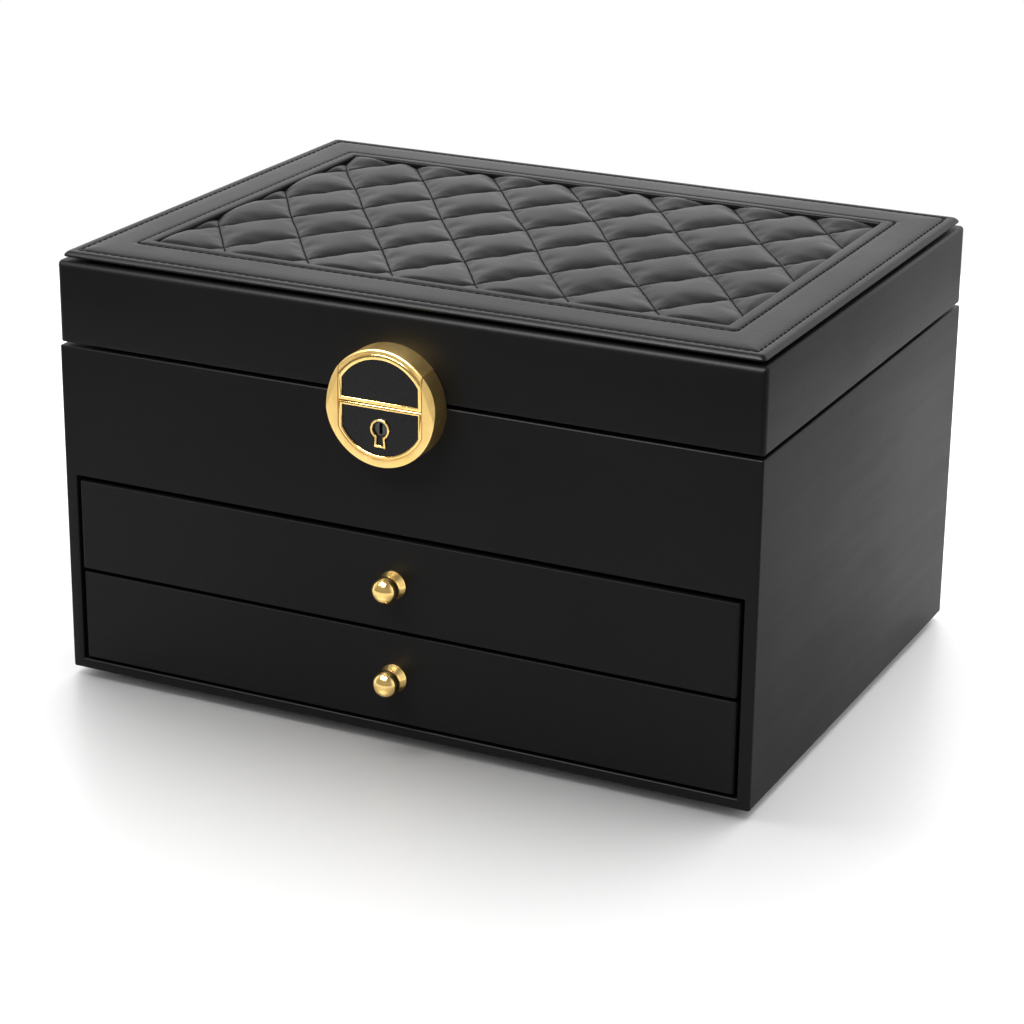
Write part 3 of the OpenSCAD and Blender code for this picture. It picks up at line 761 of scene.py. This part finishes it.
def level_puffs(bm):
    """Brings the tallest puffs to their height and rolls the sheet's edge down at the window."""
    tall = sorted(v.co.z for v in bm.verts)[int(TALL_SHARE * len(bm.verts))]
    for vert in bm.verts:
        x, y = vert.co.x - PANEL_MID[0], vert.co.y - PANEL_MID[1]
        firm = 1 + 0.1 * noise.noise(Vector((x / 22, y / 22, 9)))
        share = max(vert.co.z - SEAM_Z, 0) / (tall - SEAM_Z)
        vert.co.z = SEAM_Z + PUFF * firm * share ** PLUMPNESS
        to_wall = min(WINDOW_HALF[0] - abs(x), WINDOW_HALF[1] - abs(y))
        fall = max(1 - to_wall / EDGE_FALL_W, 0)
        vert.co.z -= (vert.co.z - PANEL_Z - EDGE_FOOT) * EDGE_FALL * min(fall, 1) ** 2


def close_below(bm):
    """Gives the sheet sides down to the board and a flat underside."""
    rim = [e for e in bm.edges if e.is_boundary]
    made = bmesh.ops.extrude_edge_only(bm, edges=rim)["geom"]
    for vert in (g for g in made if isinstance(g, bmesh.types.BMVert)):
        vert.co.z = PAD_BOTTOM
    low_rim = [e for e in bm.edges if e.is_boundary]
    bmesh.ops.edgeloop_fill(bm, edges=low_rim)


def crease_seams(bm):
    """Marks the seams to stay sharp when the sheet is refined."""
    seam = bm.verts.layers.float["seam"]
    crease = bm.edges.layers.float.new("crease_edge")
    for e in bm.edges:
        if not e.is_boundary and all(v[seam] > 0.5 for v in e.verts):
            e[crease] = 0.8


def quilted_pad():
    """Padded leather in the window: inflated between its seams, then cut to size and closed below."""
    bm = quilt_sheet()
    crease_seams(bm)
    seam = bm.verts.layers.float["seam"]
    pinned = [k for k, v in enumerate(bm.verts) if v[seam] > 0.5]
    sheet = from_bmesh("quilted_leather", bm)
    inflate(sheet, pinned)
    refine = sheet.modifiers.new("refine", "SUBSURF")
    refine.levels = 1
    bake_modifiers(sheet)
    bm = bmesh.new()
    bm.from_mesh(sheet.data)
    bmesh.ops.scale(bm, vec=(1 / MM,) * 3, verts=bm.verts)
    level_puffs(bm)
    trim_to(bm, WINDOW_HALF - PAD_GAP)
    close_below(bm)
    bmesh.ops.recalc_face_normals(bm, faces=bm.faces)
    bmesh.ops.scale(bm, vec=(MM,) * 3, verts=bm.verts)
    bm.to_mesh(sheet.data)
    bm.free()
    shade_smooth(sheet, 40)
    finish_piece(sheet, "lid", "leather", LIT_TOP_LEATHER, "quilted_pad")


def quilt_stitches():
    """Thread along both directions of the quilt's seams."""
    bm = bmesh.new()
    reach = WINDOW_HALF - PAD_GAP - THREAD_IN
    steps = 6
    for line in range(-QUILT_REACH, QUILT_REACH + 1):
        for turned in (False, True):
            run = []
            for k in range(-QUILT_REACH * steps, QUILT_REACH * steps + 1):
                place = quilt_point(k / steps, line) if turned else quilt_point(line, k / steps)
                inside = all(abs(place[a] - PANEL_MID[a]) < reach[a] for a in (0, 1))
                if inside:
                    place.z = SEAM_Z + THREAD_UP
                    run.append(place)
            stitch_line(bm, run, THREAD_PITCH, length=THREAD_LENGTH, radius=THREAD_R)
    threads = from_bmesh("quilt_stitches", bm)
    shade_smooth(threads, 60)
    finish_piece(threads, "lid", "leather", THREAD)


# ---------- Clasp ----------

CLASP_LO, CLASP_HI = span("lock_body")
CLASP_R = (CLASP_HI[0] - CLASP_LO[0]) / 2
CLASP_Z = CLASP_LO[2] + CLASP_R
CLASP_OUT = FRONT_Y - CLASP_LO[1]
FACE_OUT = CLASP_OUT - 0.8
SIDE_OUT = 5
EAR_X = 15.5
PLATE_HALF = 15.25
PLATE_R = 17.25
PLATE_TOP = 0.85
ARCH_R = 18.35
ARCH_LOW = 1.15
RIM_W = 1.2
RIM_SOFT = 0.3
KEYHOLE_SOFT = 0.22
LOCK_EDGE_R = 1.3
STRIKE_EDGE_R = 0.8
PLUG_BORE_R = 2.56
KEY_UP = -7.0


def on_clasp(x, up, out):
    """Point given from the clasp's centre: sideways, up, and out of the case's front."""
    return Vector((x, FRONT_Y - out, CLASP_Z + up))


def arc(radius, start, end, steps, up=0.0):
    """Points of an arc around the clasp's axis, or a point above it, with angles in degrees."""
    turns = [math.radians(start + (end - start) * k / steps) for k in range(steps + 1)]
    return [(radius * math.cos(t), up + radius * math.sin(t)) for t in turns]


def clasp_solid(name, outline, low, high):
    """Solid with an outline, between two distances out of the front."""
    bm = bmesh.new()
    back = [bm.verts.new(on_clasp(x, up, low)) for x, up in outline]
    front = [bm.verts.new(on_clasp(x, up, high)) for x, up in outline]
    bm.faces.new(back)
    bm.faces.new(front)
    for k in range(len(outline)):
        bm.faces.new((back[k - 1], back[k], front[k], front[k - 1]))
    return from_bmesh(name, bm)


def clasp_rim(name, outer, inner, low, high, soft):
    """Rounded rim between two outlines that have the same number of points."""
    bm = bmesh.new()
    corners = [(outer, low), (outer, high), (inner, high), (inner, low)]
    loops = [[bm.verts.new(on_clasp(x, up, out)) for x, up in outline] for outline, out in corners]
    for near, far in zip(loops, loops[1:] + loops[:1]):
        for k in range(len(near)):
            bm.faces.new((near[k - 1], near[k], far[k], far[k - 1]))
    rim = from_bmesh(name, bm)
    soften(rim, soft)
    return rim


def plate_outline(half, radius, top):
    """Lower plate: straight top and sides, and a round bottom."""
    fold = math.degrees(math.acos(half / radius))
    return [(half, top)] + arc(radius, -fold, -180 + fold, 48) + [(-half, top)]


def arch_outline(half, radius, low):
    """Upper plate: straight bottom and sides, and a round top."""
    fold = math.degrees(math.acos(half / radius))
    return arc(radius, fold, 180 - fold, 48) + [(-half, low), (half, low)]


def keyhole_outline(grow):
    """Keyhole: a round head over a flared foot."""
    radius, neck, foot, low = 3.5 + grow, 1.75 + grow, 2.1 + grow, -13.3 - grow
    join = math.degrees(math.asin(neck / radius))
    return arc(radius, -90 + join, 270 - join, 40, KEY_UP) + [(-foot, low), (foot, low)]


def slope_ears(shell):
    """Cuts a long facet across the tip of each ear."""
    bm = bmesh.new()
    bm.from_mesh(shell.data)
    for side in (-1, 1):
        start = on_clasp(side * 19.9, -2.5, CLASP_OUT)
        end = on_clasp(side * EAR_X, 9.0, CLASP_OUT)
        tip = on_clasp(side * 18.2, 8.3, CLASP_OUT - 1.1)
        outward = (end - start).cross(tip - start).normalized()
        if outward.y > 0:
            outward.negate()
        cut = bmesh.ops.bisect_plane(bm, geom=bm.verts[:] + bm.edges[:] + bm.faces[:], dist=1e-7,
                                     plane_co=start * MM, plane_no=outward, clear_outer=True)["geom_cut"]
        bmesh.ops.contextual_create(bm, geom=[g for g in cut if isinstance(g, bmesh.types.BMEdge)])
    bmesh.ops.recalc_face_normals(bm, faces=bm.faces)
    bm.to_mesh(shell.data)
    bm.free()


def crescent():
    """The lock body's horseshoe, with a pointed ear at each side."""
    tip = math.degrees(math.acos(EAR_X / CLASP_R))
    inner_r = PLATE_R + 0.2
    fold = math.degrees(math.acos(EAR_X / inner_r))
    outline = arc(CLASP_R, tip, -180 - tip, 110) + arc(inner_r, -180 + fold, -fold, 48)
    shell = clasp_solid("lock_case", outline, 0, CLASP_OUT)
    slope_ears(shell)

    def radius(mid, way):
        out = FRONT_Y - mid.y
        from_axis = math.hypot(mid.x, mid.z - CLASP_Z)
        if out < SIDE_OUT or abs(way.y) > 0.5:
            return 0.0
        at_band = from_axis > CLASP_R - 0.3 and out > CLASP_OUT - 0.1
        return LOCK_EDGE_R if at_band else 0.3

    round_edges(shell, LOCK_EDGE_R, radius, 5)
    return shell


def lock_case():
    """Hollow lock body with its ears, the floor behind the enamel and the tongue's slot."""
    shell = crescent()
    floor = clasp_solid("floor", plate_outline(EAR_X + 0.3, PLATE_R + 0.6, PLATE_TOP), 0, FACE_OUT)
    combine(shell, [floor], "UNION")
    cavity = clasp_solid("cavity", arc(17.0, -1, -179, 64), -1, 7)
    bore = clasp_solid("bore", arc(PLUG_BORE_R, 0, 350, 35, KEY_UP), 6, 10)
    slot = block_object("slot", on_clasp(-5.6, -1.3, 3), on_clasp(5.6, 2, 0.6))
    lid_room = block_object("lid_room", on_clasp(-21, 0.5, 0.3), on_clasp(21, 21, -1))
    combine(shell, [cavity, bore, slot, lid_room], "DIFFERENCE")
    shade_smooth(shell)
    finish_piece(shell, "case", "gold", CASE_GOLD, "lock_body")
    rim = clasp_rim("lock_face_rim", plate_outline(PLATE_HALF, PLATE_R, PLATE_TOP),
                    plate_outline(PLATE_HALF - RIM_W, PLATE_R - 1.05, PLATE_TOP - RIM_W),
                    FACE_OUT - 0.3, CLASP_OUT + 0.05, RIM_SOFT)
    finish_piece(rim, "case", "gold", GOLD)


def strike_case():
    """Strike on the lid: a deep arch with a chamfered band and a raised inner rim."""
    shell = clasp_solid("strike_case", arch_outline(PLATE_HALF, CLASP_R, ARCH_LOW), 0, CLASP_OUT - 0.15)

    def radius(mid, way):
        out = FRONT_Y - mid.y
        from_axis = math.hypot(mid.x, mid.z - CLASP_Z)
        if out < SIDE_OUT or abs(way.y) > 0.5:
            return 0.0
        return STRIKE_EDGE_R if from_axis > CLASP_R - 0.3 else 0.2

    round_edges(shell, STRIKE_EDGE_R, radius, 4)
    step = clasp_solid("step", arc(ARCH_R + 0.2, 0, 180, 72), FACE_OUT, CLASP_OUT + 1)
    combine(shell, [step], "DIFFERENCE")
    shade_smooth(shell)
    finish_piece(shell, "lid", "gold", CASE_GOLD, "strike")
    rim = clasp_rim("strike_face_rim", arch_outline(PLATE_HALF, ARCH_R, ARCH_LOW + 0.02),
                    arch_outline(PLATE_HALF - RIM_W, ARCH_R - 1.85, ARCH_LOW + RIM_W),
                    FACE_OUT - 0.3, CLASP_OUT + 0.05, RIM_SOFT)
    finish_piece(rim, "lid", "gold", GOLD)


def enamel_plates():
    """Glossy black plates inside the two rims, with the keyhole sunk into the lower one."""
    top = FACE_OUT + 0.15
    lower = plate_outline(PLATE_HALF - RIM_W + 0.05, PLATE_R - 1.0, PLATE_TOP - RIM_W + 0.05)
    plate = clasp_solid("lock_enamel_plate", lower, FACE_OUT - 0.1, top)
    well = clasp_solid("well", keyhole_outline(-0.2), FACE_OUT + 0.08, top + 1)
    bore = clasp_solid("bore", arc(2.4, 0, 350, 35, KEY_UP), FACE_OUT - 1, top + 1)
    combine(plate, [well, bore], "DIFFERENCE")
    shade_smooth(plate)
    finish_piece(plate, "case", "enamel", ENAMEL, "lock_enamel")
    upper = arch_outline(PLATE_HALF - RIM_W + 0.05, ARCH_R - 1.8, ARCH_LOW + RIM_W - 0.05)
    plate = clasp_solid("strike_enamel_plate", upper, FACE_OUT - 0.1, top)
    shade_smooth(plate)
    finish_piece(plate, "lid", "enamel", ENAMEL, "strike_enamel")


def keyhole_surround():
    """Raised gold rim around the keyhole."""
    rim = clasp_rim("keyhole_surround", keyhole_outline(0), keyhole_outline(-0.75),
                    FACE_OUT + 0.1, CLASP_OUT + 0.1, KEYHOLE_SOFT)
    finish_piece(rim, "case", "gold", GOLD, "keyhole_rim")


# ---------- Drawers ----------

FACE_EDGE_R = 1.3
FACE_BACK_R = 0.5
SCREW_HOLE_R = 1.25


def drawer_face(drawer):
    """Leather-wrapped drawer front with soft edges and the knob's screw hole."""
    low, high = span(drawer + "_front")
    face = block_object(drawer + "_face", low, high)
    mid_y = (low[1] + high[1]) / 2
    mid_z = (low[2] + high[2]) / 2
    bm = bmesh.new()
    turn = Matrix.Translation((0, mid_y, mid_z)) @ Matrix.Rotation(math.pi / 2, 4, "X")
    bmesh.ops.create_cone(bm, cap_ends=True, segments=24, radius1=SCREW_HOLE_R, radius2=SCREW_HOLE_R,
                          depth=20, matrix=turn)
    combine(face, [from_bmesh("screw_hole", bm)], "DIFFERENCE")
    dissolve_flat(face)

    def radius(mid, way):
        at_hole = math.hypot(mid.x, mid.z - mid_z) < 3
        if at_hole:
            return 0.0
        return FACE_EDGE_R if mid.y < low[1] + TOUCH else FACE_BACK_R

    round_edges(face, FACE_EDGE_R, radius, 4)
    finish_piece(face, drawer, "leather", LEATHER, drawer + "_front")


def lathe(name, profile, hub, segments=48):
    """Turned piece on an axis out of the front; the profile gives radius and distance out."""
    bm = bmesh.new()
    rings = []
    for radius, out in profile:
        if radius == 0:
            rings.append([bm.verts.new(hub + Vector((0, -out, 0)))] * segments)
            continue
        turns = [2 * math.pi * k / segments for k in range(segments)]
        ring = [Vector((radius * math.cos(t), -out, radius * math.sin(t))) for t in turns]
        rings.append([bm.verts.new(hub + point) for point in ring])
    for near, far in zip(rings, rings[1:]):
        for k in range(segments):
            corners = [near[k - 1], near[k], far[k], far[k - 1]]
            bm.faces.new(list(dict.fromkeys(corners)))
    return from_bmesh(name, bm)


BALL_R = 4.7
BALL_HALF = 4.1
NECK_R = 3.4
# Radius and distance out of the knob's foot, from its flat back to the ball
KNOB_FOOT = [(0, 0.02), (5.0, 0.02), (5.1, 0.1), (5.1, 0.35), (5.0, 0.5), (4.46, 1.25), (3.92, 2.0),
             (3.42, 2.7)]


def drawer_knob(drawer):
    """Polished ball, slightly flattened, on a wide flared foot."""
    low, high = span(drawer + "_knob")
    length = high[1] - low[1]
    middle = length - BALL_HALF
    steps = 22
    first = math.asin(NECK_R / BALL_R)
    turns = [first + (math.pi - first) * k / steps for k in range(steps)]
    ball = [(BALL_R * math.sin(t), middle - BALL_HALF * math.cos(t)) for t in turns]
    hub = Vector((0, high[1], (low[2] + high[2]) / 2))
    knob = lathe(drawer + "_ball_knob", KNOB_FOOT + ball + [(0, length)], hub)
    shade_smooth(knob)
    finish_piece(knob, drawer, "gold", GOLD, drawer + "_knob")


# ---------- Ring cushions ----------

ROLLS = 10
ROLL_GAP = 0.5
ROLL_OVER = 0.3
ROLL_STEPS = 26


def ring_cushions():
    """Soft velvet rolls side by side, which grip rings between them."""
    low, high = span("ring_rolls")
    pitch = (high[1] - low[1] + 2 * ROLL_OVER) / ROLLS
    length, height = high[0] - low[0], high[2] - low[2]
    half_y = (pitch - ROLL_GAP) / 2
    bm = bmesh.new()
    for roll in range(ROLLS):
        mid_y = low[1] - ROLL_OVER + pitch * (roll + 0.5)
        plump = RNG.uniform(0.96, 1.0)
        rings = []
        for k in range(ROLL_STEPS + 1):
            along = -math.cos(math.pi * k / ROLL_STEPS)
            round_end = max(1 - abs(along) ** 14, 0.0) ** 0.3
            taper = max(round_end, 0.3)
            x = low[0] + length * (along + 1) / 2
            section = roll_section(x, mid_y, low[2], height, half_y, taper, plump)
            rings.append([bm.verts.new(p) for p in section])
        for near, far in zip(rings, rings[1:]):
            for k in range(len(near)):
                bm.faces.new((near[k - 1], near[k], far[k], far[k - 1]))
        bm.faces.new(rings[0])
        bm.faces.new(rings[-1])
    cushions = from_bmesh("ring_cushions", bm)
    shade_smooth(cushions, 50)
    finish_piece(cushions, "case", "velvet", VELVET, "ring_rolls")


def roll_section(x, mid_y, floor_z, height, half_y, taper, plump):
    """Section across one roll: a round top on straight sides that bulge a little."""
    points = []
    top_r = half_y * taper
    shoulder = (height - half_y) * (0.92 + 0.08 * taper)
    for k in range(13):
        turn = math.pi * k / 12
        ripple = 0.25 * noise.noise(Vector((x / 9, (mid_y + 5 * math.cos(turn)) / 7, turn)))
        points.append(Vector((x, mid_y + (top_r + ripple) * math.cos(turn),
                              floor_z + shoulder + (top_r * plump + ripple) * math.sin(turn))))
    for side in (-1, 1):
        shares = (0.75, 0.5, 0.25, 0.0) if side < 0 else (0.0, 0.25, 0.5, 0.75)
        for share in shares:
            pull = 0.97 - 0.08 * math.sin(math.pi * share)
            points.append(Vector((x, mid_y + side * top_r * pull, floor_z + shoulder * share)))
    return points


# ---------- CAD pieces that keep their shape ----------

NODE_LOOKS = [
    (BOARD, "left_board right_board front_board back_board base_board shelf_board dust_shelf"),
    (BOARD, "lid_left_board lid_right_board lid_front_board lid_back_board lid_top_board"),
    (BOARD, "upper_drawer_left upper_drawer_right upper_drawer_back upper_drawer_bottom"),
    (BOARD, "lower_drawer_left lower_drawer_right lower_drawer_back lower_drawer_bottom"),
    (VELVET, "compartment_lining divider_long divider_cross divider_short lid_lining mirror_frame"),
    (VELVET, "upper_drawer_lining upper_drawer_dividers lower_drawer_lining lower_drawer_divider"),
    (GOLD, "hinge_body_leaves hinge_lid_leaves hinge_body_screws hinge_lid_screws"),
    (STEEL, "hinge_pins lock_screws strike_screws strike_tongue lock_back_plate lock_bolt"),
    (STEEL, "upper_knob_screw lower_knob_screw"),
    # lock plug painted near black as the keyhole's shade
    (KEYHOLE_SHADE_STEEL, "lock_plug"),
    (RUBBER, "feet"),
    (MIRROR, "mirror_glass"),
]
SOFT_EDGES = {BOARD: 0.25, VELVET: 0.35, RUBBER: 0.3}


def dress_nodes():
    """Materials for the CAD pieces, and small round edges where boards and linings show."""
    for look, names in NODE_LOOKS:
        for name in names.split():
            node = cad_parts[name]
            node.data.materials.clear()
            node.data.materials.append(look)
            if look in SOFT_EDGES:
                weld = node.modifiers.new("weld", "WELD")
                weld.merge_threshold = WELD
                bevel = node.modifiers.new("soft_edge", "BEVEL")
                bevel.width = SOFT_EDGES[look] * MM
                bevel.segments = 2
                bevel.limit_method = "ANGLE"
                bevel.angle_limit = math.radians(40)


# ---------- The object ----------

body_leather()
lid_leather()
top_panel()
panel_stitches()
quilted_pad()
quilt_stitches()
lock_case()
strike_case()
enamel_plates()
keyhole_surround()
for drawer in ("upper_drawer", "lower_drawer"):
    drawer_face(drawer)
    drawer_knob(drawer)
ring_cushions()
dress_nodes()


# ---------- Camera, light and floor ----------

LENS = 104.5
SENSOR = 36
CAMERA_AZIMUTH = 25.92
CAMERA_ELEVATION = 20.39
CAMERA_ROLL = 0.608
CAMERA_FROM_CORNER = (568.4, -812.0, 424.1)


def camera():
    """Camera at the photograph's place: a little right of the front and above."""
    data = bpy.data.cameras.new("camera")
    data.lens = LENS
    data.sensor_width = SENSOR
    data.clip_start = 0.05
    data.clip_end = 50
    cam = bpy.data.objects.new("camera", data)
    bpy.context.scene.collection.objects.link(cam)
    azimuth = math.radians(CAMERA_AZIMUTH)
    elevation = math.radians(CAMERA_ELEVATION)
    roll = math.radians(CAMERA_ROLL)
    back = Vector((math.sin(azimuth) * math.cos(elevation),
                   -math.cos(azimuth) * math.cos(elevation), math.sin(elevation)))
    right = Vector((math.cos(azimuth), math.sin(azimuth), 0))
    up = back.cross(right)
    turned_right = right * math.cos(roll) + up * math.sin(roll)
    turned_up = -right * math.sin(roll) + up * math.cos(roll)
    turn = Matrix((turned_right, turned_up, back)).transposed()
    corner = Vector((BODY_LO[0], FRONT_Y, BODY_LO[2]))
    place = (corner + Vector(CAMERA_FROM_CORNER)) * MM
    cam.matrix_world = Matrix.Translation(place) @ turn.to_4x4()
    bpy.context.scene.camera = cam


def area_light(name, place, target, size, watts):
    """Rectangular lamp that the camera doesn't see."""
    data = bpy.data.lights.new(name, "AREA")
    data.shape = "RECTANGLE"
    data.size, data.size_y = size
    data.energy = watts
    lamp = bpy.data.objects.new(name, data)
    bpy.context.scene.collection.objects.link(lamp)
    lamp.location = place
    lamp.rotation_euler = (Vector(target) - Vector(place)).to_track_quat("-Z", "Y").to_euler()
    lamp.visible_camera = False
    return lamp


ROOM = 0.4
BACKDROP = 1.95
BELOW = 0.34
OVERHEAD = 0.26
FLOOR_R = 560
OVERHEAD_WATTS = 23
SOFTBOX_WATTS = 58
# Brightness of the room along Y and Z: places from 0 at the lowest to 1 at the highest direction
ROOM_BANDS = [
    ("Y", [(0.25, ROOM), (0.62, BACKDROP)]),
    ("Z", [(0.4, BELOW), (0.5, 1.0), (0.72, 1.0), (0.93, OVERHEAD)]),
]


def room_light():
    """World that lights the case unevenly, like a studio, and is plain white to the camera."""
    world = bpy.data.worlds.new("studio")
    bpy.context.scene.world = world
    world.use_nodes = True
    tree = world.node_tree
    out = tree.nodes["World Output"]
    tree.nodes.remove(tree.nodes["Background"])
    seen = add_node(tree, "ShaderNodeBackground", Color=(1, 1, 1, 1), Strength=1.0)
    sky = add_node(tree, "ShaderNodeBackground", Strength=1.0)
    place = add_node(tree, "ShaderNodeTexCoord")
    split = add_node(tree, "ShaderNodeSeparateXYZ")
    tree.links.new(place.outputs["Generated"], split.inputs["Vector"])
    bands = []
    for axis, stops in ROOM_BANDS:
        whole = add_node(tree, "ShaderNodeMapRange")
        whole.inputs["From Min"].default_value = -1
        tree.links.new(split.outputs[axis], whole.inputs["Value"])
        bands.append(ramp(tree, whole.outputs["Result"], [(at, (bright,) * 3) for at, bright in stops]))
    room = add_node(tree, "ShaderNodeVectorMath", operation="MULTIPLY")
    tree.links.new(bands[0], room.inputs[0])
    tree.links.new(bands[1], room.inputs[1])
    tree.links.new(room.outputs["Vector"], sky.inputs["Color"])
    rays = add_node(tree, "ShaderNodeLightPath")
    mix = add_node(tree, "ShaderNodeMixShader")
    tree.links.new(rays.outputs["Is Camera Ray"], mix.inputs[0])
    tree.links.new(sky.outputs[0], mix.inputs[1])
    tree.links.new(seen.outputs[0], mix.inputs[2])
    tree.links.new(mix.outputs[0], out.inputs["Surface"])


def floor_and_lamps():
    """Round pale floor, a lamp overhead for soft shade, and a softbox that edges and gold reflect."""
    floor_mat, _, shader = material("pale_floor")
    shader.inputs["Base Color"].default_value = (0.9, 0.9, 0.9, 1)
    shader.inputs["Roughness"].default_value = 0.35
    bm = bmesh.new()
    bmesh.ops.create_circle(bm, cap_ends=True, segments=96, radius=FLOOR_R)
    floor = from_bmesh("floor", bm)
    floor.data.materials.append(floor_mat)
    lamp = area_light("overhead", (-0.1, 0.35, 1.3), (0, 0, 0), (1.6, 1.2), OVERHEAD_WATTS)
    lamp.visible_glossy = False
    softbox = area_light("front_softbox", (-0.25, -0.75, 1.1), (0, 0, 0.1), (1.0, 0.6), SOFTBOX_WATTS)
    softbox.visible_diffuse = False


camera()
room_light()
floor_and_lamps()
view = bpy.context.scene.view_settings
view.view_transform = "Standard"
view.look = "None"
